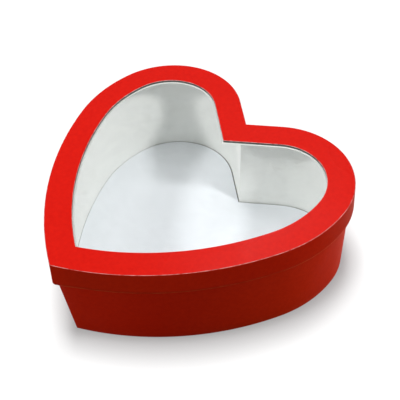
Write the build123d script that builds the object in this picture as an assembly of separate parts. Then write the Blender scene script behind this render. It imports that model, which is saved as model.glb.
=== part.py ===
"""Heart-shaped gift box of wrapped board: a flared base and a lift-off lid with a clear window.

Millimetres, +Z up. +X runs across the two lobes and -Y points at the tip of the heart.
The origin is on the underside, at the middle of the lid's outline.
"""
import os
from math import atan2, cos, degrees, radians, sin, sqrt, tan

from build123d import *

# Lid outline, right half, from the notch between the lobes round to the tip
NOTCH_SIDE = 33.5  # straight run beside the notch
NOTCH_RISE = 36.3  # slope of that run, degrees
LOBE_RADIUS = 70.5
LOBE_SWEEP = 116.5  # degrees
SHOULDER_RADIUS = 118.0
SHOULDER_SWEEP = 32.7  # degrees
SIDE_RADIUS = 278.0  # carries on to the tip

# Overall form
RIM_HEIGHT = 94.2  # underside to the rim of the base
WALL_LEAN = 5.6  # how much further in the walls stand at the underside than at the rim
SKIRT_HEIGHT = 23.7  # top of the lid to the lower edge of its skirt
WINDOW_MARGIN = 24.2  # outer edge of the lid to the window

# Sheet materials
WRAP_PAPER = 0.3  # red cover paper
LINER_PAPER = 0.25  # white lining paper
STAY_PAPER = 0.25  # gummed tape that holds a corner of the board
WALL_BOARD = 1.8
FLOOR_BOARD = 1.8
FRAME_BOARD = 1.8
SKIRT_BOARD = 1.2
FLOOR_CARD = 0.6
FILM = 0.25
GLUE = 0.05  # glue line between two layers

# Fits and laps
LID_CLEARANCE = 0.4  # lining of the lid's skirt to the rim of the base
LID_SEAT = 0.05  # underside of the lid's frame to the rim
RIM_TURN_IN = 15.0  # cover paper folded over the rim and down the inside
TURN_UNDER = 12.0  # cover paper folded under the base
SKIRT_TURN_IN = 10.0  # cover paper folded up inside the skirt
BOTTOM_SETBACK = 2.0  # edge of the underside to its bottom paper
LINER_SETBACK = 3.0  # red edge left bare above or below a lining
FILM_LAP = 12.0  # film glued under the frame round the window
LINER_LIP = 1.3  # white edge that shows inside the window
CARD_GAP = 0.8  # floor card to the lining round it
STAY_REACH = 18.0  # half width of a corner tape
SEAM_GAP = 0.2  # where the ends of a cover strip meet in the notch

QUARTER_TURN = 90  # degrees
CUT_OVERRUN = 5.0


def inward(heading):
    """Unit vector square to a heading in degrees, on the side of the heart's middle."""
    return Vector(sin(radians(heading)), -cos(radians(heading)))


# Arc centres, first with the notch at the origin, then moved so that the outline is centred
lobe_end = NOTCH_RISE - LOBE_SWEEP
shoulder_end = lobe_end - SHOULDER_SWEEP
notch_run = Vector(cos(radians(NOTCH_RISE)), sin(radians(NOTCH_RISE))) * NOTCH_SIDE
lobe_centre = notch_run + inward(NOTCH_RISE) * LOBE_RADIUS
shoulder_centre = lobe_centre + inward(lobe_end) * (SHOULDER_RADIUS - LOBE_RADIUS)
side_centre = shoulder_centre + inward(shoulder_end) * (SIDE_RADIUS - SHOULDER_RADIUS)


def tip_drop(inset):
    """How far the tip lies below the centre of the side arc."""
    return sqrt((SIDE_RADIUS - inset) ** 2 - side_centre.X**2)


lobe_top = lobe_centre.Y + LOBE_RADIUS
lid_tip = side_centre.Y - tip_drop(0)
centring = Vector(0, -(lobe_top + lid_tip) / 2)
lobe_centre += centring
shoulder_centre += centring
side_centre += centring
heart_length = lobe_top - lid_tip


def notch_line(inset, x):
    """Point of the straight run beside the notch, or of its line carried on past the centre."""
    run_end = lobe_centre - inward(NOTCH_RISE) * (LOBE_RADIUS - inset)
    return Vector(x, run_end.Y + (x - run_end.X) * tan(radians(NOTCH_RISE)))


def lobe_to_side(inset, tip_inset):
    """The three arcs of the right half. The last one ends at the angle of the tip at tip_inset."""
    side_start = shoulder_end + QUARTER_TURN
    side_sweep = degrees(atan2(-tip_drop(tip_inset), -side_centre.X)) - side_start
    return [
        CenterArc(lobe_centre, LOBE_RADIUS - inset, NOTCH_RISE + QUARTER_TURN, -LOBE_SWEEP),
        CenterArc(shoulder_centre, SHOULDER_RADIUS - inset, lobe_end + QUARTER_TURN, -SHOULDER_SWEEP),
        CenterArc(side_centre, SIDE_RADIUS - inset, side_start, side_sweep),
    ]


def half_outline(inset):
    """Edges of the right half, from the notch to the tip, moved in by inset."""
    arcs = lobe_to_side(inset, inset)
    return [Line(notch_line(inset, 0), arcs[0] @ 0)] + arcs


def heart(inset):
    """Face of the whole outline moved in by inset."""
    right = half_outline(inset)
    left = [edge.mirror(Plane.YZ) for edge in right]
    return make_face(right + left)


def half_band(outer, inner):
    """Right half of the band between two insets, closed on the centre line."""
    outside = half_outline(outer)
    inside = half_outline(inner)
    notch_end = Line(outside[0] @ 0, inside[0] @ 0)
    tip_end = Line(outside[-1] @ 1, inside[-1] @ 1)
    return make_face(outside + inside + [notch_end, tip_end])


def at_height(z):
    return Pos(0, 0, z)


# Upright pieces, for the lid
def upright_block(inset, low, high):
    return extrude(at_height(low) * heart(inset), high - low)


def upright_band(outer, inner, low, high):
    ring = heart(outer) - heart(inner)
    return extrude(at_height(low) * ring, high - low)


def upright_half(outer, inner, low, high):
    return extrude(at_height(low) * half_band(outer, inner), high - low)


# Leaning pieces, for the base. A depth is counted from the outer face of the base's wall.
skirt_turn_depth = WRAP_PAPER + GLUE + SKIRT_BOARD + GLUE
skirt_liner_depth = skirt_turn_depth + WRAP_PAPER + GLUE
rim_inset = skirt_liner_depth + LINER_PAPER + LID_CLEARANCE


def wall_inset(depth, z):
    """Inset from the lid's outline of a layer at this depth in the wall, at height z."""
    return rim_inset + depth + WALL_LEAN * (RIM_HEIGHT - z) / RIM_HEIGHT


def wide_half(inset):
    """Right half carried on past the centre line, with the same arc angles at every inset."""
    arcs = lobe_to_side(inset, 0)
    run = Line(notch_line(inset, -NOTCH_SIDE), arcs[0] @ 0)
    return make_face([run] + arcs + [Line(arcs[-1] @ 1, run @ 0)])


def leaning_half_block(depth, low, high):
    """Right half of a leaning block, cut flat on the centre plane."""
    sections = [at_height(z) * wide_half(wall_inset(depth, z)) for z in (low, high)]
    right_side = Box(heart_length, 2 * heart_length, high - low, align=(Align.MIN, Align.CENTER, Align.MIN))
    return loft(sections, ruled=True) & at_height(low) * right_side


def leaning_block(depth, low, high):
    right = leaning_half_block(depth, low, high)
    return right + mirror(right, about=Plane.YZ)


def leaning_band(outer, inner, low, high):
    opening = leaning_block(inner, low - CUT_OVERRUN, high + CUT_OVERRUN)
    return leaning_block(outer, low, high) - opening


def leaning_half(outer, inner, low, high):
    opening = leaning_half_block(inner, low - CUT_OVERRUN, high + CUT_OVERRUN)
    return leaning_half_block(outer, low, high) - opening


# Cutting blocks at the two corners of the heart
def corner_block(half_width, towards_tip):
    """Tall block about the centre line, from the middle of the heart out past its notch or tip."""
    side = Align.MAX if towards_tip else Align.MIN
    height = RIM_HEIGHT + SKIRT_HEIGHT
    return Box(2 * half_width, heart_length, height, align=(Align.CENTER, side, Align.MIN))


def with_seam(band):
    """A strip that goes once round the heart, with its ends meeting in the notch."""
    return band - corner_block(SEAM_GAP / 2, towards_tip=False)


# Layers of the base's wall, from the outside in
wall_board_depth = WRAP_PAPER + GLUE
wall_turn_depth = wall_board_depth + WALL_BOARD + GLUE
wall_turn_end = wall_turn_depth + WRAP_PAPER
wall_liner_depth = wall_turn_end + GLUE
wall_liner_end = wall_liner_depth + LINER_PAPER

# Levels of the base, from the underside up
wrap_low = WRAP_PAPER + GLUE
board_low = wrap_low + WRAP_PAPER + GLUE
floor_top = board_low + FLOOR_BOARD
lining_low = floor_top + GLUE
board_high = RIM_HEIGHT - WRAP_PAPER - GLUE
turn_in_low = RIM_HEIGHT - RIM_TURN_IN

# Levels of the lid, from the rim up
frame_liner_low = RIM_HEIGHT + LID_SEAT
film_low = frame_liner_low + LINER_PAPER + GLUE
frame_low = film_low + FILM + GLUE
frame_high = frame_low + FRAME_BOARD
top_paper_low = frame_high + GLUE
lid_top = top_paper_low + WRAP_PAPER
skirt_low = lid_top - SKIRT_HEIGHT
skirt_board_low = skirt_low + WRAP_PAPER + GLUE
skirt_turn_high = skirt_low + SKIRT_TURN_IN
skirt_lining_high = frame_liner_low - GLUE


def base_bottom_paper():
    """Red sheet glued under the base, over the turned edge of the cover paper."""
    return upright_block(wall_inset(BOTTOM_SETBACK, 0), 0, WRAP_PAPER)


def base_floor_board():
    return leaning_block(wall_turn_depth, board_low, floor_top)


def base_wall_right():
    return leaning_half(wall_board_depth, wall_turn_depth - GLUE, board_low, board_high)


def base_wrap():
    """One strip of cover paper: up the wall, over the rim, down inside, and in under the base."""
    under_high = wrap_low + WRAP_PAPER
    fold_low = RIM_HEIGHT - WRAP_PAPER
    skin = leaning_block(0, wrap_low, RIM_HEIGHT) - leaning_block(WRAP_PAPER, under_high, fold_low)
    skin += leaning_block(wall_turn_depth, turn_in_low, fold_low)
    skin -= leaning_block(wall_turn_end, turn_in_low - CUT_OVERRUN, RIM_HEIGHT + CUT_OVERRUN)
    skin -= leaning_block(TURN_UNDER, wrap_low - CUT_OVERRUN, under_high + CUT_OVERRUN)
    return with_seam(skin)


def base_stay(towards_tip):
    """Gummed tape across a corner, on the inside of the wall board."""
    tape = leaning_band(wall_turn_depth, wall_turn_depth + STAY_PAPER, lining_low, turn_in_low - GLUE)
    return tape & corner_block(STAY_REACH, towards_tip)


def base_wall_liner():
    return with_seam(leaning_band(wall_liner_depth, wall_liner_end, lining_low, RIM_HEIGHT - LINER_SETBACK))


def base_floor_card():
    return upright_block(wall_inset(wall_liner_end + CARD_GAP, floor_top), lining_low, lining_low + FLOOR_CARD)


def lid_top_paper():
    """Red sheet on top of the frame, cut flush with it at the window and with the skirt outside."""
    return upright_band(0, WINDOW_MARGIN, top_paper_low, lid_top)


def lid_frame_board():
    return upright_band(WRAP_PAPER + GLUE, WINDOW_MARGIN, frame_low, frame_high)


def lid_skirt_right():
    return upright_half(WRAP_PAPER + GLUE, skirt_turn_depth - GLUE, skirt_board_low, frame_low - GLUE)


def lid_skirt_wrap():
    """One strip of cover paper: down the skirt, round its lower edge and up inside."""
    edge_high = skirt_low + WRAP_PAPER
    wrap_high = top_paper_low - GLUE
    skin = upright_block(0, skirt_low, wrap_high) - upright_block(WRAP_PAPER, edge_high, wrap_high + CUT_OVERRUN)
    skin += upright_block(skirt_turn_depth, edge_high, skirt_turn_high)
    skin -= upright_block(skirt_turn_depth + WRAP_PAPER, skirt_low - CUT_OVERRUN, wrap_high)
    return with_seam(skin)


def lid_stay(towards_tip):
    """Gummed tape across a corner, on the inside of the skirt board."""
    tape_end = skirt_turn_depth + STAY_PAPER
    tape = upright_band(skirt_turn_depth, tape_end, skirt_turn_high + GLUE, skirt_lining_high)
    return tape & corner_block(STAY_REACH, towards_tip)


def window_film():
    return upright_block(WINDOW_MARGIN - FILM_LAP, film_low, film_low + FILM)


def lid_frame_liner():
    """White ring under the frame and film, a little proud of the window all round."""
    liner_high = frame_liner_low + LINER_PAPER
    return upright_band(skirt_turn_depth, WINDOW_MARGIN + LINER_LIP, frame_liner_low, liner_high)


def lid_skirt_liner():
    liner_end = skirt_liner_depth + LINER_PAPER
    return with_seam(upright_band(skirt_liner_depth, liner_end, skirt_low + LINER_SETBACK, skirt_lining_high))


wall_right = base_wall_right()
skirt_right = lid_skirt_right()
pieces = {
    "base_bottom_paper": base_bottom_paper(),
    "base_floor_board": base_floor_board(),
    "base_wall_board_right": wall_right,
    "base_wall_board_left": mirror(wall_right, about=Plane.YZ),
    "base_tip_stay": base_stay(towards_tip=True),
    "base_notch_stay": base_stay(towards_tip=False),
    "base_wrap": base_wrap(),
    "base_wall_liner": base_wall_liner(),
    "base_floor_card": base_floor_card(),
    "lid_frame_board": lid_frame_board(),
    "lid_skirt_board_right": skirt_right,
    "lid_skirt_board_left": mirror(skirt_right, about=Plane.YZ),
    "lid_tip_stay": lid_stay(towards_tip=True),
    "lid_notch_stay": lid_stay(towards_tip=False),
    "lid_top_paper": lid_top_paper(),
    "lid_skirt_wrap": lid_skirt_wrap(),
    "window_film": window_film(),
    "lid_frame_liner": lid_frame_liner(),
    "lid_skirt_liner": lid_skirt_liner(),
}

os.makedirs("parts", exist_ok=True)
for name, shape in pieces.items():
    export_step(shape, f"parts/{name}.step")
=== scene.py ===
# %% [markdown]
# A heart-shaped gift box of wrapped board, dressed for a studio picture.
# The construction comes in as a fixed frame of plain solids. This lesson puts paper on it: cover sheets
# with real folds and raw edges, a lining, a loose card and a clear window, and then lights it.

# %% Load the frame
from math import atan2, cos, pi, radians, sin, sqrt, tan

import bpy
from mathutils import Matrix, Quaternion, Vector


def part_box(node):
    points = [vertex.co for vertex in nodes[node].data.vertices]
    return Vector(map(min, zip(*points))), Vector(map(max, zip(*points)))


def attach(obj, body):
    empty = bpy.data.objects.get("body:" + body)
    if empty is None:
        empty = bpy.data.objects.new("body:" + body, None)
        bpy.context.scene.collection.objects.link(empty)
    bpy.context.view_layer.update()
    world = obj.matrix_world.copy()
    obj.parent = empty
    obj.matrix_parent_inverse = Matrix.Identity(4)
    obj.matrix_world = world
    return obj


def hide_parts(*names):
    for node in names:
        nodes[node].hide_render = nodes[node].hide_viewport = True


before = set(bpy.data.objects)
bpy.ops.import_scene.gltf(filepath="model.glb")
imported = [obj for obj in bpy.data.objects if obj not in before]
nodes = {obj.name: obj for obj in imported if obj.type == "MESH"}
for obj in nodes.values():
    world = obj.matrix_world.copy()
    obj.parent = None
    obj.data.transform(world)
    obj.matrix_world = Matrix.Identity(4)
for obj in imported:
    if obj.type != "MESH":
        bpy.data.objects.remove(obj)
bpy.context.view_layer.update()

# %% [markdown]
# Every sheet of the box follows one heart outline, moved inwards by some inset. It could be drawn as a free
# curve, but then each moved copy would have to be fitted anew. So the outline is a straight run beside the
# notch and three arcs that run into each other: moved inwards, an arc keeps its centre and only its radius
# changes. The arcs are given by radius and sweep, and each centre follows from the one before.

# %% Outline of the heart
NOTCH_SIDE = 0.0335
NOTCH_RISE = radians(36.3)
LOBE_RADIUS = 0.0705
LOBE_SWEEP = radians(116.5)
SHOULDER_RADIUS = 0.118
SHOULDER_SWEEP = radians(32.7)
SIDE_RADIUS = 0.278


def inward(heading):
    """Unit vector square to a heading, on the side of the heart's middle."""
    return Vector((sin(heading), -cos(heading), 0))


lobe_end = NOTCH_RISE - LOBE_SWEEP
shoulder_end = lobe_end - SHOULDER_SWEEP
run_direction = Vector((cos(NOTCH_RISE), sin(NOTCH_RISE), 0))
lobe_centre = run_direction * NOTCH_SIDE + inward(NOTCH_RISE) * LOBE_RADIUS
shoulder_centre = lobe_centre + inward(lobe_end) * (SHOULDER_RADIUS - LOBE_RADIUS)
side_centre = shoulder_centre + inward(shoulder_end) * (SIDE_RADIUS - SHOULDER_RADIUS)
sharp_tip = side_centre.y - sqrt(SIDE_RADIUS**2 - side_centre.x**2)
centring = Vector((0, -(lobe_centre.y + LOBE_RADIUS + sharp_tip) / 2, 0))
for centre in (lobe_centre, shoulder_centre, side_centre):
    centre += centring
print("lobe centre", lobe_centre, "side centre", side_centre)

# %% [markdown]
# Each sheet goes exactly where the solid is that it stands for, so the levels are read from the frame instead
# of being typed in again. The wall of the base leans, so the inset of its layers changes with the height.

# %% Levels
SKIRT_TURN_IN = 0.01  # the cover paper goes this far up inside the skirt
RIM_TURN_IN = 0.015  # and this far down inside the rim of the base
WALL_LEAN = 0.0056  # the base is this much narrower all round at the underside than at its rim
RIM_INSET = 0.0026  # lid's outline to the rim of the base

lid_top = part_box("lid_top_paper")[1].z
skirt_low, skirt_high = (corner.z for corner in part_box("lid_skirt_wrap"))
skirt_turn_high = skirt_low + SKIRT_TURN_IN
wrap_low, rim = (corner.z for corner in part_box("base_wrap"))
turn_in_low = rim - RIM_TURN_IN
lining_low, lining_high = (corner.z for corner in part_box("base_wall_liner"))
card_low, card_high = (corner.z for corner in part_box("base_floor_card"))
lid_lining_low, lid_lining_high = (corner.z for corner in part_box("lid_skirt_liner"))


def wall_inset(depth, height):
    """Inset from the lid's outline of a layer at this depth in the base's leaning wall."""
    return RIM_INSET + depth + WALL_LEAN * (rim - height) / rim


print("lid top", round(lid_top, 5), "rim", round(rim, 5), "skirt from", round(skirt_low, 5))

# %% [markdown]
# One heart line can be drawn the way a draughtsperson would: start with a single point in the notch, extrude
# it along the straight run, then spin it about the centre of each arc in turn. Spinning keeps the arcs true,
# and symmetrize copies the half across. Paper bends round the tip of the heart, so the line ends in a small
# round there. Two small helpers come first: one selects a single object, and one starts an empty mesh.

# %% Starting a piece
def only(piece):
    """Select one object and make it active."""
    bpy.ops.object.select_all(action="DESELECT")
    piece.select_set(True)
    bpy.context.view_layer.objects.active = piece


def new_piece(name):
    """An empty mesh object at the origin, in edit mode."""
    bpy.ops.object.select_all(action="DESELECT")
    bpy.ops.object.add(type="MESH", location=(0, 0, 0))
    piece = bpy.context.object
    piece.name = name
    piece.data.name = name
    bpy.ops.object.mode_set(mode="EDIT")
    return piece


# %% Heart lines
RUN_STEPS = 6
LOBE_STEPS = 44
SHOULDER_STEPS = 14
SIDE_STEPS = 36
TIP_STEPS = 5
TIP_ROUND = 0.0018
LEAST_ROUND = 0.0003
FLARE_REACH = 0.03  # a pushed tip takes this much of each side along
SEED = 0.001  # a plane of this size is merged into the first point of a line
MERGE = 0.000002
UP = (0, 0, 1)


def draw_half_heart(inset, height, seam, tip=TIP_ROUND, flare=0):
    """Right half of a heart line, from seam beside the notch to the tip, as a chain of edges."""
    run_end = lobe_centre - inward(NOTCH_RISE) * (LOBE_RADIUS - inset)
    run_start = Vector((seam, run_end.y - (run_end.x - seam) * tan(NOTCH_RISE), 0))
    tip_round = max(tip - inset, LEAST_ROUND)
    drop = sqrt((SIDE_RADIUS - inset - tip_round) ** 2 - side_centre.x**2)
    tip_centre = Vector((0, side_centre.y - drop, 0))
    side_finish = atan2(-drop, -side_centre.x)
    bpy.ops.mesh.select_all(action="DESELECT")
    bpy.ops.mesh.primitive_plane_add(size=SEED, location=(run_start.x, run_start.y, height))
    bpy.ops.mesh.merge(type="CENTER")
    step = (run_end - run_start) / RUN_STEPS
    for _ in range(RUN_STEPS):
        bpy.ops.mesh.extrude_region_move(TRANSFORM_OT_translate={"value": step})
    for centre, sweep, steps in (
        (lobe_centre, LOBE_SWEEP, LOBE_STEPS),
        (shoulder_centre, SHOULDER_SWEEP, SHOULDER_STEPS),
        (side_centre, shoulder_end + pi / 2 - side_finish, SIDE_STEPS),
        (tip_centre, side_finish + pi / 2, TIP_STEPS),
    ):
        bpy.ops.mesh.spin(steps=steps, angle=sweep, center=(centre.x, centre.y, height), axis=UP)
    if flare:
        bpy.ops.transform.translate(
            value=(0, -flare, 0),
            use_proportional_edit=True,
            use_proportional_connected=True,
            proportional_edit_falloff="SMOOTH",
            proportional_size=FLARE_REACH,
        )


def close_heart():
    """Copy the drawn half across the centre plane."""
    bpy.ops.mesh.select_all(action="SELECT")
    bpy.ops.mesh.symmetrize(direction="POSITIVE_X", threshold=MERGE)
    bpy.ops.mesh.select_all(action="SELECT")
    bpy.ops.mesh.remove_doubles(threshold=MERGE)


half_steps = RUN_STEPS + LOBE_STEPS + SHOULDER_STEPS + SIDE_STEPS + TIP_STEPS
print("half a heart line has", half_steps, "edges")

# %% [markdown]
# Two heart lines bridged together make a band, and bands joined edge to edge make a folded sheet. Bridging
# doesn't say which side of a band is the outside. So one face on the right side of the heart is looked at,
# and the whole sheet is turned over if that face points the wrong way.

# %% Bands and folded sheets
RIGHT_SIDE = 0.1  # faces further out than this are on the right side
OUTWARDS = (1, 0, 0)
INWARDS = (-1, 0, 0)
DOWNWARDS = (0, 0, -1)


def heart_band(name, first, last, cuts, seam):
    """A band between two heart lines, each given as inset, height and maybe the tip's round and flare."""
    band = new_piece(name)
    for inset, height, *tip_shape in (first, last):
        draw_half_heart(inset, height, seam, *tip_shape)
    close_heart()
    bpy.ops.mesh.bridge_edge_loops(number_cuts=cuts, interpolation="LINEAR")
    bpy.ops.object.mode_set(mode="OBJECT")
    return band


def face_outside(sheet, height, outside):
    """Turn the sheet over if its faces near a height on the right side don't face the way asked."""
    probe = min(
        (face for face in sheet.data.polygons if face.center.x > RIGHT_SIDE),
        key=lambda face: abs(face.center.z - height) + abs(face.center.y),
    )
    if probe.normal.dot(Vector(outside)) < 0:
        only(sheet)
        bpy.ops.object.mode_set(mode="EDIT")
        bpy.ops.mesh.select_all(action="SELECT")
        bpy.ops.mesh.flip_normals()
        bpy.ops.object.mode_set(mode="OBJECT")


def folded_sheet(name, stops, cuts, outside, seam=0.0):
    """A sheet folded at each stop, as a surface that faces outside at its first band."""
    pairs = zip(stops, stops[1:], cuts)
    bands = [heart_band(name, first, last, count, seam) for first, last, count in pairs]
    only(bands[0])
    for band in bands:
        band.select_set(True)
    if len(bands) > 1:
        bpy.ops.object.join()
    sheet = bpy.context.object
    bpy.ops.object.mode_set(mode="EDIT")
    bpy.ops.mesh.select_all(action="SELECT")
    bpy.ops.mesh.remove_doubles(threshold=MERGE)
    bpy.ops.mesh.normals_make_consistent(inside=False)
    bpy.ops.object.mode_set(mode="OBJECT")
    first_height, second_height = stops[0][1], stops[1][1]
    face_outside(sheet, (first_height + second_height) / 2, outside)
    return sheet


# %% [markdown]
# Paper doesn't crease to nothing where it goes round a board, so every fold is bevelled. Solidify then gives
# the sheet its thickness behind the outside face, so that the drawn lines stay the outside of the box.

# %% Folds and thickness
SHARP_FOLD = radians(80)
FOLD_SEGMENTS = 3
SMOOTH_UNDER = radians(35)


def round_folds(sheet, radius):
    """Bevel every sharp fold of a sheet, as paper bends round the edge of a board."""
    only(sheet)
    bpy.ops.object.mode_set(mode="EDIT")
    bpy.ops.mesh.select_mode(type="EDGE")
    bpy.ops.mesh.select_all(action="DESELECT")
    bpy.ops.mesh.edges_select_sharp(sharpness=SHARP_FOLD)
    bpy.ops.mesh.bevel(offset=radius, segments=FOLD_SEGMENTS, affect="EDGES")
    bpy.ops.mesh.select_mode(type="VERT")
    bpy.ops.object.mode_set(mode="OBJECT")


def give_thickness(sheet, thickness):
    """Thicken a sheet behind its outside face and shade it smooth between folds."""
    only(sheet)
    solid = sheet.modifiers.new("thickness", "SOLIDIFY")
    solid.thickness = thickness
    solid.offset = -1
    solid.use_even_offset = True
    bpy.ops.object.modifier_apply(modifier="thickness")
    bpy.ops.object.shade_smooth_by_angle(angle=SMOOTH_UNDER)


# %% [markdown]
# The red sheet on the lid is glued on last and cut flush with the skirt, so its raw edge shows as a thin pale
# line all round. It could be a flat ring with Solidify, but then the cut edge would be square and dark from
# above. Drawing the closed profile of the sheet instead, with a small chamfer where the blade crushed the
# edge, gives the edge its own faces. They get a second material slot, for the undyed core of the paper.

# %% Top sheet of the lid
PAPER = 0.0003  # thickness of the cover paper
WINDOW_MARGIN = 0.0242
TOP_SETBACK = 0.0002  # the sheet is cut a hair inside the skirt's outer face
CUT_CHAMFER = 0.00024
FLAT = 0.9  # a face counts as flat when its normal is at least this upright


def on_cut_edge(face):
    """Whether a face of the top sheet is part of its cut edge."""
    return abs(face.normal.z) < FLAT


sheet_low = lid_top - PAPER
top_sheet = folded_sheet(
    "lid_top_sheet",
    stops=[
        (TOP_SETBACK, sheet_low),
        (TOP_SETBACK, lid_top - CUT_CHAMFER),
        (TOP_SETBACK + CUT_CHAMFER, lid_top),
        (WINDOW_MARGIN - CUT_CHAMFER, lid_top),
        (WINDOW_MARGIN, lid_top - CUT_CHAMFER),
        (WINDOW_MARGIN, sheet_low),
        (TOP_SETBACK, sheet_low),
    ],
    cuts=[0, 0, 5, 0, 0, 0],
    outside=OUTWARDS,
)
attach(top_sheet, "lid")
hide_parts("lid_top_paper")
raw_count = sum(on_cut_edge(face) for face in top_sheet.data.polygons)
print(top_sheet.name, len(top_sheet.data.polygons), "faces,", raw_count, "of them on its cut edges")

# %% [markdown]
# The skirt is covered by one strip of the same paper. It comes down from the top edge, turns round the lower
# edge of the board and goes up inside. Its two ends meet in the notch. The strip is drawn as the outside face
# with three bands, the folds are rounded, and Solidify gives it thickness towards the board. At the tip the
# folded paper is bulky: its lower corner stands off the board and is rounder than the top one. That is done
# where the line is drawn, by pushing its last point with proportional editing, so both folds stay closed.

# %% Cover strip of the skirt
SEAM = 0.0001  # half of the gap where the ends of a strip meet in the notch
SKIRT_WALL = 0.0019  # outside of the skirt to the inside of its turned-in paper
SKIRT_FOLD = 0.0007
SKIRT_TIP_ROUND = 0.0045
SKIRT_TIP_FLARE = 0.0017

skirt_cover = folded_sheet(
    "lid_skirt_cover",
    stops=[
        (0, skirt_high),
        (0, skirt_low, SKIRT_TIP_ROUND, SKIRT_TIP_FLARE),
        (SKIRT_WALL, skirt_low),
        (SKIRT_WALL, skirt_turn_high),
    ],
    cuts=[6, 0, 2],
    outside=OUTWARDS,
    seam=SEAM,
)
round_folds(skirt_cover, SKIRT_FOLD)
give_thickness(skirt_cover, PAPER)
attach(skirt_cover, "lid")
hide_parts("lid_skirt_wrap")
print(skirt_cover.name, len(skirt_cover.data.polygons), "faces")

# %% [markdown]
# Inside the skirt is a strip of white lining paper that covers the edge of the turned-in red paper. It could
# be a flat strip bent by a modifier, but one upright band between two heart lines is the bent strip already.

# %% Lining of the skirt
LINING = 0.00025  # thickness of the lining paper
LID_LINING_INSET = 0.0022

skirt_lining = folded_sheet(
    "lid_skirt_lining",
    stops=[(LID_LINING_INSET, lid_lining_low), (LID_LINING_INSET, lid_lining_high)],
    cuts=[2],
    outside=INWARDS,
    seam=SEAM,
)
give_thickness(skirt_lining, LINING)
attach(skirt_lining, "lid")
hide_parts("lid_skirt_liner")
print(skirt_lining.name, len(skirt_lining.data.polygons), "faces")

# %% [markdown]
# The base is wrapped in one strip too: in under the bottom, up the leaning wall, over the rim and down
# inside. It is made like the skirt's strip. Just below the lid its tip bulges a little, because the two wall
# boards only meet at their edges there and the paper bridges them.

# %% Cover strip of the base
TURN_UNDER = 0.012
RIM_WALL = 0.0025  # outside of the base's wall to the inside of its turned-in paper
RIM_FOLD = 0.0008
BASE_TIP_BULGE = 0.0012

base_cover = folded_sheet(
    "base_cover",
    stops=[
        (wall_inset(TURN_UNDER, wrap_low), wrap_low),
        (wall_inset(0, wrap_low), wrap_low),
        (wall_inset(0, skirt_low), skirt_low, TIP_ROUND + RIM_INSET, BASE_TIP_BULGE),
        (wall_inset(0, rim), rim),
        (wall_inset(RIM_WALL, rim), rim),
        (wall_inset(RIM_WALL, turn_in_low), turn_in_low),
    ],
    cuts=[2, 9, 3, 0, 2],
    outside=DOWNWARDS,
    seam=SEAM,
)
round_folds(base_cover, RIM_FOLD)
give_thickness(base_cover, PAPER)
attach(base_cover, "base")
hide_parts("base_wrap")
print(base_cover.name, len(base_cover.data.polygons), "faces")

# %% [markdown]
# White paper lines the wall from the floor to just under the rim, where it covers the raw edge of the red
# turn-in. Its ends meet in the notch as a straight upright joint. A single leaning band is enough for it.

# %% Lining of the base
LINING_DEPTH = 0.0028

base_lining = folded_sheet(
    "base_lining",
    stops=[
        (wall_inset(LINING_DEPTH, lining_low), lining_low),
        (wall_inset(LINING_DEPTH, lining_high), lining_high),
    ],
    cuts=[10],
    outside=INWARDS,
    seam=SEAM,
)
give_thickness(base_lining, LINING)
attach(base_lining, "base")
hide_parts("base_wall_liner")
print(base_lining.name, len(base_lining.data.polygons), "faces")

# %% [markdown]
# A loose white card lies on the floor of the box. It is cut a little smaller than the floor so that it drops
# in, and it never lies quite in the middle: the gap is thin at the tip and wider at the notch. One heart
# line, filled and extruded, gives the card, and a small move puts it where it slid to.

# %% Floor card
CARD_DEPTH = 0.0036
CARD_SLIP = (-0.0001, -0.0004, 0)

floor_card = new_piece("floor_card")
draw_half_heart(wall_inset(CARD_DEPTH, card_low), card_low, seam=0)
close_heart()
bpy.ops.mesh.edge_face_add()
bpy.ops.mesh.extrude_region_move(TRANSFORM_OT_translate={"value": (0, 0, card_high - card_low)})
bpy.ops.mesh.select_all(action="SELECT")
bpy.ops.mesh.normals_make_consistent(inside=False)
bpy.ops.transform.translate(value=CARD_SLIP)
bpy.ops.object.mode_set(mode="OBJECT")
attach(floor_card, "base")
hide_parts("base_floor_card")
print(floor_card.name, len(floor_card.data.polygons), "faces")

# %% [markdown]
# Every finish on this box is paper or board of some kind, and what makes paper look like paper is its
# formation: a cloudy mottle, and fibres lying every way. That effect is a node group, built once and placed
# in each material with its own scale. Two more groups add what handling does: pale wear along a fold, and
# smudges that change the gloss. A few helpers come first, so that a material reads as a list of its nodes.

# %% Node helpers
def add(tree, kind, **values):
    """A shader node with some of its sockets set."""
    made = tree.nodes.new("ShaderNode" + kind)
    for socket, value in values.items():
        made.inputs[socket.replace("_", " ")].default_value = value
    return made


def maths(tree, operation, first, second):
    """A Math node. Each operand is a socket or a number."""
    made = tree.nodes.new("ShaderNodeMath")
    made.operation = operation
    for place, operand in enumerate((first, second)):
        if isinstance(operand, (int, float)):
            made.inputs[place].default_value = operand
        else:
            tree.links.new(operand, made.inputs[place])
    return made.outputs[0]


def blend_colours(tree, mask, first, second):
    """A Mix node for colours. Each colour is a socket or three numbers."""
    made = tree.nodes.new("ShaderNodeMix")
    made.data_type = "RGBA"
    colour_sockets = [socket for socket in made.inputs if socket.type == "RGBA"]
    tree.links.new(mask, made.inputs[0])
    for socket, colour in zip(colour_sockets, (first, second)):
        if isinstance(colour, tuple):
            socket.default_value = (*colour, 1)
        else:
            tree.links.new(colour, socket)
    return next(socket for socket in made.outputs if socket.type == "RGBA")


# %% Group helpers
def new_group(name, inputs, outputs):
    """A shader node group with float inputs beside its vector, and float outputs."""
    group = bpy.data.node_groups.new(name, "ShaderNodeTree")
    group.interface.new_socket("Vector", in_out="INPUT", socket_type="NodeSocketVector")
    for socket, value in inputs.items():
        made = group.interface.new_socket(socket, in_out="INPUT", socket_type="NodeSocketFloat")
        made.default_value = value
    for socket in outputs:
        group.interface.new_socket(socket, in_out="OUTPUT", socket_type="NodeSocketFloat")
    return group, group.nodes.new("NodeGroupInput").outputs, group.nodes.new("NodeGroupOutput").inputs


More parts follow.
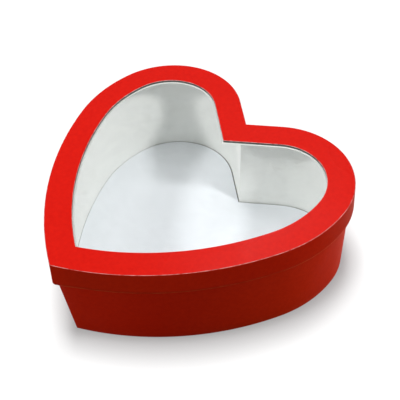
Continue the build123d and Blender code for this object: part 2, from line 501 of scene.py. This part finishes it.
def use_group(tree, group, vector, **values):
    """A group placed in a material, with some of its inputs set."""
    made = tree.nodes.new("ShaderNodeGroup")
    made.node_tree = group
    tree.links.new(vector, made.inputs["Vector"])
    for socket, value in values.items():
        made.inputs[socket].default_value = value
    return made.outputs


# %% [markdown]
# Pulp settles in clouds, and single fibres lie across each other on top. One noise gives the clouds. For the
# fibres, a finer noise is stretched one way and again the other way, and the larger of the two wins, so that
# the strands seem to cross.

# %% Paper formation group
FIBRE_FINER = 7  # fibres are this much finer than the clouds
FIBRE_LAYS = ((1.0, 0.22, 1.0), (0.22, 1.0, 0.4))  # a small scale stretches the noise along that axis

formation, given, result = new_group("paper_formation", {"Scale": 300.0}, ("Cloud", "Fibre"))
cloud = add(formation, "TexNoise", Detail=5.0, Roughness=0.6)
formation.links.new(given["Vector"], cloud.inputs["Vector"])
formation.links.new(given["Scale"], cloud.inputs["Scale"])
formation.links.new(cloud.outputs["Fac"], result["Cloud"])
strands = []
for stretch in FIBRE_LAYS:
    lay = add(formation, "Mapping", Scale=stretch)
    strand = add(formation, "TexNoise", Detail=3.0, Roughness=0.55)
    formation.links.new(given["Vector"], lay.inputs["Vector"])
    formation.links.new(lay.outputs["Vector"], strand.inputs["Vector"])
    finer = maths(formation, "MULTIPLY", given["Scale"], FIBRE_FINER)
    formation.links.new(finer, strand.inputs["Scale"])
    strands.append(strand.outputs["Fac"])
formation.links.new(maths(formation, "MAXIMUM", *strands), result["Fibre"])
print("group", formation.name, len(formation.nodes), "nodes")

# %% [markdown]
# A fold is rubbed where hands and shelves touch it, in patches and not all along, and its round catches the
# light.
# The mask paints both: partly wear, partly a painted highlight along the fold. The folds are level, so the
# mask is strongest at one height, fades over a short reach, and is broken up by noise.

# %% Fold wear and painted highlight group
fold_wear_and_highlight, given, result = new_group(
    "fold_wear_and_highlight", {"Level": 0.0, "Reach": 0.001, "Patches": 60.0, "Patch_start": 0.5}, ("Wear_and_highlight",)
)
place = add(fold_wear_and_highlight, "SeparateXYZ")
fold_wear_and_highlight.links.new(given["Vector"], place.inputs[0])
above = maths(fold_wear_and_highlight, "SUBTRACT", place.outputs["Z"], given["Level"])
distance = maths(fold_wear_and_highlight, "ABSOLUTE", above, 0)
nearness = maths(fold_wear_and_highlight, "SUBTRACT", 1, maths(fold_wear_and_highlight, "DIVIDE", distance, given["Reach"]))
patch = add(fold_wear_and_highlight, "TexNoise", Detail=4.0, Roughness=0.65)
fold_wear_and_highlight.links.new(given["Vector"], patch.inputs["Vector"])
fold_wear_and_highlight.links.new(given["Patches"], patch.inputs["Scale"])
patch_mask = add(fold_wear_and_highlight, "MapRange", From_Max=0.75)
fold_wear_and_highlight.links.new(patch.outputs["Fac"], patch_mask.inputs["Value"])
fold_wear_and_highlight.links.new(given["Patch_start"], patch_mask.inputs["From Min"])
kept = maths(fold_wear_and_highlight, "MAXIMUM", nearness, 0)
fold_wear_and_highlight.links.new(maths(fold_wear_and_highlight, "MULTIPLY", kept, patch_mask.outputs[0]), result["Wear_and_highlight"])
print("group", fold_wear_and_highlight.name, len(fold_wear_and_highlight.nodes), "nodes")

# %% [markdown]
# Handling leaves broad, smeared areas of more and less gloss. They could be painted by hand, but a distorted
# noise at the size of a hand gives them on any sheet.

# %% Handling group
handling, given, result = new_group("handling", {"Scale": 14.0}, ("Smudge",))
smear = add(handling, "TexNoise", Detail=3.0, Roughness=0.5, Distortion=0.8)
handling.links.new(given["Vector"], smear.inputs["Vector"])
handling.links.new(given["Scale"], smear.inputs["Scale"])
spread = add(handling, "MapRange", From_Min=0.35, From_Max=0.7)
handling.links.new(smear.outputs["Fac"], spread.inputs["Value"])
handling.links.new(spread.outputs[0], result["Smudge"])
print("group", handling.name, len(handling.nodes), "nodes")

# %% [markdown]
# All papers and boards share one recipe: two colours mixed by the clouds, roughness between two values by the
# smudges, fibre relief, and at the folds that a sheet has, wear with a painted highlight. Each material could
# be wired by hand, but one function keeps them alike. What is the same all over a sheet is set on the shader
# itself.

# %% A paper or board finish
# painted highlight as well as wear: this light orange stands partly for dye rubbed off a fold, partly for
# light on its round
FOLD_WEAR_AND_HIGHLIGHT = (0.95, 0.2, 0.06)  # where the dye is rubbed off a fold
FIBRE_HEIGHT = 0.0001


def sheet_finish(name, colours, grain, roughness, relief, specular, folds=()):
    """A finish of two colours in the paper's clouds, fibre relief, smudged gloss, and fold wear with painted
    highlight.
    """
    finish = bpy.data.materials.new(name)
    finish.use_nodes = True
    tree = finish.node_tree
    shader = tree.nodes["Principled BSDF"]
    where = add(tree, "TexCoord").outputs["Object"]
    paper = use_group(tree, formation, where, Scale=grain)
    mottle = add(tree, "MapRange", From_Min=0.3, From_Max=0.7)
    tree.links.new(paper["Cloud"], mottle.inputs["Value"])
    colour = blend_colours(tree, mottle.outputs[0], *colours)
    for fold in folds:
        fold_marks = use_group(tree, fold_wear_and_highlight, where, **fold)
        colour = blend_colours(tree, fold_marks["Wear_and_highlight"], colour, FOLD_WEAR_AND_HIGHLIGHT)
    tree.links.new(colour, shader.inputs["Base Color"])
    smudge = use_group(tree, handling, where)
    gloss = add(tree, "MapRange", To_Min=roughness[0], To_Max=roughness[1])
    tree.links.new(smudge["Smudge"], gloss.inputs["Value"])
    tree.links.new(gloss.outputs[0], shader.inputs["Roughness"])
    shader.inputs["Specular IOR Level"].default_value = specular
    bump = add(tree, "Bump", Strength=relief, Distance=FIBRE_HEIGHT)
    tree.links.new(paper["Fibre"], bump.inputs["Height"])
    tree.links.new(bump.outputs["Normal"], shader.inputs["Normal"])
    return finish


# %% Putting finishes on
def constants(finish, **values):
    """Set sockets of a finish's shader that are the same all over."""
    shader = finish.node_tree.nodes["Principled BSDF"]
    for socket, value in values.items():
        shader.inputs[socket.replace("_", " ")].default_value = value


def put(piece, *finishes):
    """Give a new piece its finishes, one to a slot."""
    piece.data.materials.clear()
    for finish in finishes:
        piece.data.materials.append(finish)


def put_on_nodes(finish, *names):
    """Give fixed nodes of the frame a finish."""
    for name in names:
        for slot in nodes[name].material_slots:
            slot.material = finish


# %% [markdown]
# The cover paper is dyed red and lightly coated. From above it is a clean bright red with hardly any gloss,
# and at a low angle it turns warm and dusty, as coated paper does. A single red with a strong gloss would
# mirror the white studio and go pink, so the gloss is weak, its tint on the upright sheets is warm, and a
# thin sheen gives the dust. The upright sheets also get a warmer copy of the red: that is painted warm shade,
# for the warm light the sides get in shade. Where the sheet is folded, a light orange is mixed in along the
# fold in small patches, partly as wear and partly as a painted highlight. The sheet under the box has no
# folds, so it has the upright finish without fold marks.

# %% Red cover paper
FLAT_REDS = ((0.58, 0.0045, 0.001), (0.65, 0.0075, 0.002))
# the upright sheets get a warmer copy of the red: painted warm shade, for the warm light on the sides
UPRIGHT_PAINTED_SHADE_REDS = ((0.605, 0.012, 0.0015), (0.672, 0.0178, 0.0024))
RED_GRAIN = 260
RED_RELIEF = 0.12
FLAT_ROUGHNESS = (0.27, 0.35)
FLAT_SPECULAR = 0.07
UPRIGHT_ROUGHNESS = (0.46, 0.56)
UPRIGHT_SPECULAR = 0.018
WARM = (1, 0.5, 0.1, 1)


def upright_red(name, folds):
    """The cover paper on an upright sheet, in a warmer red that is painted warm shade."""
    finish = sheet_finish(
        name, UPRIGHT_PAINTED_SHADE_REDS, RED_GRAIN, UPRIGHT_ROUGHNESS, RED_RELIEF, UPRIGHT_SPECULAR, folds
    )
    constants(finish, Specular_Tint=WARM, Sheen_Weight=0.15, Sheen_Roughness=0.35, Sheen_Tint=WARM)
    return finish


lower_fold = {"Level": skirt_low, "Reach": 0.0014, "Patch_start": 0.36}
foot_fold = {"Level": wrap_low, "Reach": 0.0009, "Patch_start": 0.5}
rim_fold = {"Level": rim, "Reach": 0.0006, "Patch_start": 0.45}
top_red = sheet_finish(
    "cover_red_top", FLAT_REDS, RED_GRAIN, FLAT_ROUGHNESS, RED_RELIEF, FLAT_SPECULAR
)
skirt_red = upright_red("cover_red_skirt", [lower_fold])
base_red = upright_red("cover_red_base", [foot_fold, rim_fold])
bottom_red = upright_red("cover_red_bottom", [])
put(skirt_cover, skirt_red)
put(base_cover, base_red)
put_on_nodes(bottom_red, "base_bottom_paper")
print("red finishes", top_red.name, skirt_red.name, base_red.name, bottom_red.name)

# %% [markdown]
# The cut edge of the top sheet shows the pale core of the paper. A plain pale colour would look like a drawn
# line. The real edge isn't even: the blade smeared some dye over it and left nicks, so the same recipe mixes
# the core and the red, and they change every few millimetres.

# %% Raw edge of the top sheet
SMEARED_DYE = (0.36, 0.03, 0.025)
PALE_CORE = (0.93, 0.66, 0.63)

raw_edge = sheet_finish(
    "raw_paper_edge",
    colours=(SMEARED_DYE, PALE_CORE),
    grain=210,
    roughness=(0.8, 0.9),
    relief=0.3,
    specular=0.2,
)
put(top_sheet, top_red, raw_edge)
for face in top_sheet.data.polygons:
    face.material_index = int(on_cut_edge(face))
print(raw_edge.name, "on", raw_count, "faces")

# %% [markdown]
# Inside are two whites: the lining paper, a warm matt white, and the smoother card on the floor, a bluer one.
# With one white for both, the floor would melt into the wall. The recipe is the same, and the two differ in
# colour, relief, the size of the clouds and the gloss.

# %% White papers
lining_white = sheet_finish(
    "lining_white",
    colours=((0.89, 0.905, 0.87), (0.93, 0.945, 0.91)),
    grain=220,
    roughness=(0.62, 0.75),
    relief=0.016,
    specular=0.3,
)
card_white = sheet_finish(
    "card_white",
    colours=((0.87, 0.91, 0.95), (0.9, 0.94, 0.98)),
    grain=180,
    roughness=(0.5, 0.6),
    relief=0.01,
    specular=0.35,
)
put(skirt_lining, lining_white)
put(base_lining, lining_white)
put(floor_card, card_white)
put_on_nodes(lining_white, "lid_frame_liner")
print("white finishes", lining_white.name, card_white.name)

# %% [markdown]
# The boards are recycled greyboard, laminated from several plies. Only the cut edge round the window shows, a
# thin grey line under the red. The plies could be modelled as layers, but they are half a millimetre thick.
# So a wave along the height adds them to the paper recipe, as darker lines and shallow ridges.

# %% Greyboard
WAVE_LENGTH = 0.314  # one wave of the Wave texture at scale 1, in metres
PLY = 0.0005
PLY_LINE = (0.05, 0.048, 0.045)

greyboard = sheet_finish(
    "bare_greyboard",
    colours=((0.1, 0.097, 0.092), (0.2, 0.193, 0.18)),
    grain=420,
    roughness=(0.85, 0.95),
    relief=0.5,
    specular=0.2,
)
tree = greyboard.node_tree
shader = tree.nodes["Principled BSDF"]
plies = add(tree, "TexWave", Scale=WAVE_LENGTH / PLY, Distortion=1.5, Detail=3.0, Detail_Scale=2.0)
plies.bands_direction = "Z"
tree.links.new(tree.nodes["Texture Coordinate"].outputs["Object"], plies.inputs["Vector"])
line = add(tree, "MapRange", From_Min=0.75, To_Max=0.6)
tree.links.new(plies.outputs["Fac"], line.inputs["Value"])
board_colour = shader.inputs["Base Color"].links[0].from_socket
lined_colour = blend_colours(tree, line.outputs[0], board_colour, PLY_LINE)
tree.links.new(lined_colour, shader.inputs["Base Color"])
ridges = tree.nodes["Bump"].inputs["Height"]
tree.links.new(maths(tree, "SUBTRACT", ridges.links[0].from_socket, line.outputs[0]), ridges)
boards = [name for name in nodes if name.endswith("_board") or "_board_" in name]
put_on_nodes(greyboard, *boards)
print(greyboard.name, "on", len(boards), "nodes")

# %% [markdown]
# The boards meet at tip and notch under strips of brown gummed tape, which the lining hides. They are seen
# only when the box is taken apart, and the plain paper recipe in two browns is enough for them.

# %% Gummed tape
gummed_tape = sheet_finish(
    "gummed_tape",
    colours=((0.36, 0.22, 0.1), (0.46, 0.3, 0.15)),
    grain=240,
    roughness=(0.7, 0.8),
    relief=0.2,
    specular=0.3,
)
stays = [name for name in nodes if name.endswith("_stay")]
put_on_nodes(gummed_tape, *stays)
print(gummed_tape.name, "on", len(stays), "nodes")

# %% [markdown]
# The window is a sheet of clear film glued behind the frame. It is almost invisible from here. Glass with
# transmission would bend and darken what lies behind it, while film this thin doesn't, so the sheet is nearly
# transparent by its alpha. Smudges change how much of it is seen and how sharp its gloss is, and slow ripples
# in the bump keep it from being perfectly flat.

# %% Clear film
FILM_TINTS = ((0.97, 0.985, 1.0), (0.9, 0.93, 0.95))
FILM_ALPHA = (0.03, 0.07)
FILM_ROUGHNESS = (0.04, 0.14)
FILM_SMUDGES = 22.0
RIPPLES = 9
RIPPLE_HEIGHT = 0.0005

film = bpy.data.materials.new("window_clear")
film.use_nodes = True
tree = film.node_tree
shader = tree.nodes["Principled BSDF"]
where = add(tree, "TexCoord").outputs["Object"]
smudge = use_group(tree, handling, where, Scale=FILM_SMUDGES)["Smudge"]
tree.links.new(blend_colours(tree, smudge, *FILM_TINTS), shader.inputs["Base Color"])
for socket, (least, most) in {"Alpha": FILM_ALPHA, "Roughness": FILM_ROUGHNESS}.items():
    share = add(tree, "MapRange", To_Min=least, To_Max=most)
    tree.links.new(smudge, share.inputs["Value"])
    tree.links.new(share.outputs[0], shader.inputs[socket])
ripple = add(tree, "TexNoise", Scale=RIPPLES, Detail=1.0)
tree.links.new(where, ripple.inputs["Vector"])
bump = add(tree, "Bump", Strength=0.15, Distance=RIPPLE_HEIGHT)
tree.links.new(ripple.outputs["Fac"], bump.inputs["Height"])
tree.links.new(bump.outputs["Normal"], shader.inputs["Normal"])
put_on_nodes(film, "window_film")
bare_nodes = [name for name, part in nodes.items() if not part.material_slots]
print("finishes", len(bpy.data.materials), "nodes without one", bare_nodes)

# %% [markdown]
# The box stands on a plain white sweep that is as bright as the background, with a short soft shadow round
# its foot. A white floor could be lit until it burns out, but that light would wash out the red paper too. So
# part of the floor's white is its own, and the rest comes from a lamp that lights nothing else. Where the box
# keeps that lamp off, the floor is darker: that is the shadow.

# %% Studio floor
FLOOR_SIZE = 1.6

bpy.ops.object.select_all(action="DESELECT")
bpy.ops.mesh.primitive_plane_add(size=FLOOR_SIZE, location=(0, 0, 0))
floor = bpy.context.object
floor.name = "studio_floor"
print(floor.name, "is", FLOOR_SIZE, "m wide")

# %% White of the floor
FLOOR_GLOW = 0.39
FLOOR_MATT = (0.19, 0.19, 0.19, 1)
FLOOR_BOUNCE = (0.035, 0.035, 0.035, 1)  # what the box sees of the floor


def seen_directly(tree):
    """A value of 1 for rays that show a thing itself: to the camera, or in a gloss or through glass."""
    path = tree.nodes.new("ShaderNodeLightPath").outputs
    seen = maths(tree, "MAXIMUM", path["Is Camera Ray"], path["Is Glossy Ray"])
    return maths(tree, "MAXIMUM", seen, path["Is Transmission Ray"])


sweep = bpy.data.materials.new("white_sweep")
sweep.use_nodes = True
tree = sweep.node_tree
tree.nodes.clear()
shown = add(tree, "AddShader")
tree.links.new(add(tree, "BsdfDiffuse", Color=FLOOR_MATT).outputs[0], shown.inputs[0])
tree.links.new(add(tree, "Emission", Strength=FLOOR_GLOW).outputs[0], shown.inputs[1])
either = add(tree, "MixShader")
tree.links.new(seen_directly(tree), either.inputs["Fac"])
tree.links.new(add(tree, "BsdfDiffuse", Color=FLOOR_BOUNCE).outputs[0], either.inputs[1])
tree.links.new(shown.outputs[0], either.inputs[2])
tree.links.new(either.outputs[0], add(tree, "OutputMaterial").inputs["Surface"])
floor.data.materials.append(sweep)
print(sweep.name, len(tree.nodes), "nodes")

# %% [markdown]
# The world is the rest of the white studio. What is seen directly, or in a gloss, is plain white. As a light
# it is almost nothing, because the lamps do the work and an even glow would flatten the inside of the box.

# %% World
AMBIENT = 0.01
WHITE = (1, 1, 1, 1)

world = bpy.data.worlds.new("studio")
bpy.context.scene.world = world
world.use_nodes = True
tree = world.node_tree
background = tree.nodes["Background"]
background.inputs["Color"].default_value = WHITE
level = add(tree, "MapRange", To_Min=AMBIENT, To_Max=1.0)
tree.links.new(seen_directly(tree), level.inputs["Value"])
tree.links.new(level.outputs[0], background.inputs["Strength"])
print("ambient light", AMBIENT)

# %% [markdown]
# Light linking says what a lamp lights. With it, single sheets can get what they lack, and the floor stays
# white on its own. The cover of the base is left out of the two strongest lamps, since the overhang of the
# skirt would cut those off in a hard dark band.

# %% What the lamps light
def receivers(name, *pieces):
    """A collection of what a lamp lights."""
    made = bpy.data.collections.new(name)
    for piece in pieces:
        made.objects.link(piece)
    return made


floor_only = receivers("floor_only", floor)
lid_sheet_only = receivers("lid_sheet_only", top_sheet)
base_cover_only = receivers("base_cover_only", base_cover)
all_but_floor = receivers("all_but_floor", floor)
lid_and_inside = receivers("lid_and_inside", floor, base_cover)
for collection in (all_but_floor, lid_and_inside):
    for entry in collection.collection_objects:
        entry.light_linking.link_state = "EXCLUDE"
print("light collections", len(bpy.data.collections))

# %% [markdown]
# The light in the box comes through the window, so each wall shows which way a lamp stands. A lamp high on
# the right lights the left wall, and one at the front left lights the notch and the right lobe. These two are
# small, so the edges of their light can be followed on the walls and the card. A low one at the left, one
# behind on the right and a broad one overhead fill the rest.

# %% Lamps for the box
LAMP_AIM = Vector((0, 0, 0.05))
OVERHEAD = (-0.1, 0.1, 0.99)
HIGH_RIGHT = (0.656, 0.188, 0.731)
LOW_LEFT = (-0.85, 0, 0.53)
FRONT_LEFT = (-0.31, -0.635, 0.707)
BACK_RIGHT = (0.492, 0.587, 0.643)


def softbox(name, direction, distance, size, power, lights=all_but_floor):
    """A square lamp in a direction from the box, turned towards it."""
    place = LAMP_AIM + Vector(direction).normalized() * distance
    bpy.ops.object.select_all(action="DESELECT")
    bpy.ops.object.light_add(type="AREA", location=place)
    lamp = bpy.context.object
    lamp.name = name
    lamp.data.size = size
    lamp.data.energy = power
    lamp.rotation_euler = (LAMP_AIM - place).to_track_quat("-Z", "Y").to_euler()
    lamp.light_linking.receiver_collection = lights
    return lamp


softbox("overhead", OVERHEAD, distance=1.8, size=0.9, power=7.9)
softbox("right", HIGH_RIGHT, distance=2.0, size=0.25, power=18.1, lights=lid_and_inside)
softbox("left", LOW_LEFT, distance=2.0, size=0.3, power=10.7)
softbox("front_left", FRONT_LEFT, distance=2.0, size=0.3, power=16.9, lights=lid_and_inside)
softbox("back_right", BACK_RIGHT, distance=1.8, size=0.9, power=4.1)
print("lamps for the box", len(bpy.data.lights))

# %% [markdown]
# The floor has its own wide lamp, far above the box. The top sheet has one that it mirrors as a soft gloss.
# The cover of the base has two low ones in place of the two strongest.

# %% Lamps for single sheets
WASH_TURN = radians(46)  # the floor's lamp is square to the view
WASH_LENGTH = 2.4
ABOVE = (-0.06, 0.045, 0.997)
MIRRORED = (-0.36, 0.45, 0.82)
LOW_FRONT = (0, -0.97, 0.25)
LOW_RIGHT = (0.685, 0.685, 0.25)

wash = softbox("floor_wash", ABOVE, distance=6.0, size=1.6, power=1340, lights=floor_only)
wash.data.shape = "RECTANGLE"
wash.data.size_y = WASH_LENGTH
wash.rotation_euler = (0, 0, WASH_TURN)
softbox("lid_gloss", MIRRORED, distance=2.0, size=0.4, power=4.2, lights=lid_sheet_only)
softbox("base_front", LOW_FRONT, distance=2.0, size=0.6, power=11, lights=base_cover_only)
softbox("base_right", LOW_RIGHT, distance=2.0, size=0.6, power=20, lights=base_cover_only)
print("lamps in all", len(bpy.data.lights))

# %% [markdown]
# The camera stands to the right of the tip, about two thirds of a metre up, and looks down into the box. Its
# place, aim, roll and lens were worked out from the outlines of the lid, the window and the foot in the
# photo. It could be framed by eye, but then no outline would lie quite on the photo's.

# %% Camera
CAMERA_PLACE = Vector((0.44916, -0.34575, 0.65968))
CAMERA_AIM = Vector((-0.03272, 0.06193, 0))
CAMERA_ROLL = radians(-5.266)
LENS = 81.69
SENSOR_WIDTH = 36

bpy.ops.object.select_all(action="DESELECT")
bpy.ops.object.camera_add()
camera = bpy.context.object
camera.name = "studio_camera"
camera.data.lens = LENS
camera.data.sensor_width = SENSOR_WIDTH
turn = (CAMERA_AIM - CAMERA_PLACE).to_track_quat("-Z", "Y") @ Quaternion(UP, CAMERA_ROLL)
camera.location = CAMERA_PLACE
camera.rotation_euler = turn.to_euler()
bpy.context.scene.camera = camera
bpy.context.scene.view_settings.view_transform = "Standard"
print("camera at", CAMERA_PLACE, "with a lens of", LENS, "mm")
